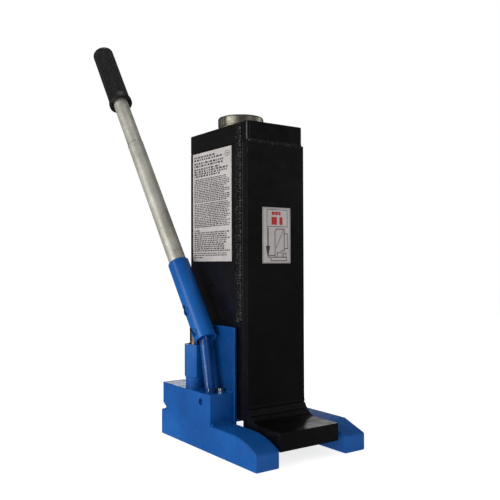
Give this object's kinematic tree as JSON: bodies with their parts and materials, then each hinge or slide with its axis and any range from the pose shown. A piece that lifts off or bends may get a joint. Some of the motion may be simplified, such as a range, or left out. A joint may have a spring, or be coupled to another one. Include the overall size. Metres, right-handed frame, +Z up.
{
  "type": "hydraulic toe jack",
  "caption": "Hand-pumped hydraulic toe jack: a low toe and a round top head on a lifting housing, a forked base, a pump block and a long two-part lever.",
  "frame": {"origin": "on the floor, straight below the ram's axis", "axes": "+Z up along the ram, -Y towards the toe, +X to the jack's right when it is seen from the toe side with -X holding the pump and the lever"},
  "size_m": [0.1893, 0.5373, 0.6706],
  "materials": {
    "base_enamel": "gloss blue enamel over castings and weldments",
    "housing_enamel": "gloss black enamel",
    "machined_steel": "turned steel",
    "black_steel": "blackened fasteners",
    "galvanised_steel": "dull galvanised tube",
    "worn_head_steel": "bare steel with worn turning marks",
    "hard_chrome": "ground and chromed rod",
    "bronze": "cast bearing bronze",
    "seal_rubber": "oil-proof rubber",
    "grip_rubber": "diamond-moulded rubber",
    "knob_plastic": "moulded plastic",
    "label_film": "printed film"
  },
  "bodies": {
    "base": {"left_leg": "base_enamel", "right_leg": "base_enamel", "bridge_plate": "base_enamel", "left_guide_plate": "base_enamel", "right_guide_plate": "base_enamel", "rear_guide_plate": "base_enamel", "pump_block": "base_enamel", "ram_flange": "machined_steel", "flange_screws": "black_steel", "ram_cylinder": "machined_steel", "reservoir_tube": "machined_steel", "ram_gland": "machined_steel", "guide_block": "bronze", "rod_wiper": "seal_rubber", "pump_cylinder": "base_enamel", "pump_seal": "seal_rubber", "filler_plug": "machined_steel", "link_bottom_pin": "machined_steel", "valve_balls": "hard_chrome", "valve_springs": "machined_steel", "valve_plugs": "black_steel"},
    "release_valve": {"release_spindle": "machined_steel", "release_knob": "knob_plastic"},
    "carriage": {"front_plate": "housing_enamel", "folded_housing": "housing_enamel", "top_plate": "housing_enamel", "load_head": "worn_head_steel", "piston_rod": "hard_chrome", "piston": "machined_steel", "piston_seal": "seal_rubber", "guide_collar": "bronze", "instruction_label": "label_film", "capacity_label": "label_film"},
    "link": {"link_rod": "base_enamel"},
    "lever": {"lever_socket": "base_enamel", "link_top_pin": "base_enamel", "plunger_pin": "base_enamel", "pin_cotters": "black_steel"},
    "plunger": {"pump_plunger": "hard_chrome"},
    "handle": {"lower_lever_tube": "galvanised_steel", "upper_lever_tube": "galvanised_steel", "lever_grip": "grip_rubber"}
  },
  "joints": [
    {"name": "lift_slide", "type": "slide", "parent": "base", "child": "carriage", "axis": [0, 0, 1], "range_m": [0, 0.2]},
    {"name": "release_turn", "type": "hinge", "parent": "base", "child": "release_valve", "pos_m": [-0.07, 0.077, 0.066], "axis": [0, 1, 0], "range_deg": [0, 270]},
    {"name": "link_swing", "type": "hinge", "parent": "base", "child": "link", "pos_m": [-0.075, -0.0335, 0.067], "axis": [-1, 0, 0], "range_deg": [-7.8, 1.6]},
    {"name": "lever_pump", "type": "hinge", "parent": "link", "child": "lever", "pos_m": [-0.075, -0.0125, 0.1615], "axis": [-1, 0, 0], "range_deg": [-8, 40]},
    {"name": "plunger_slide", "type": "slide", "parent": "base", "child": "plunger", "axis": [0, 0, 1], "range_m": [-0.0137, 0.0028]},
    {"name": "handle_draw", "type": "slide", "parent": "lever", "child": "handle", "axis": [0, 0.5934, 0.8049], "range_m": [0, 0.05]}
  ],
  "couplings": [
    {"joint": "link_swing", "follows": "lever_pump", "ratio": -0.1936},
    {"joint": "plunger_slide", "follows": "lever_pump", "m_per_rad": -0.01948}
  ]
}
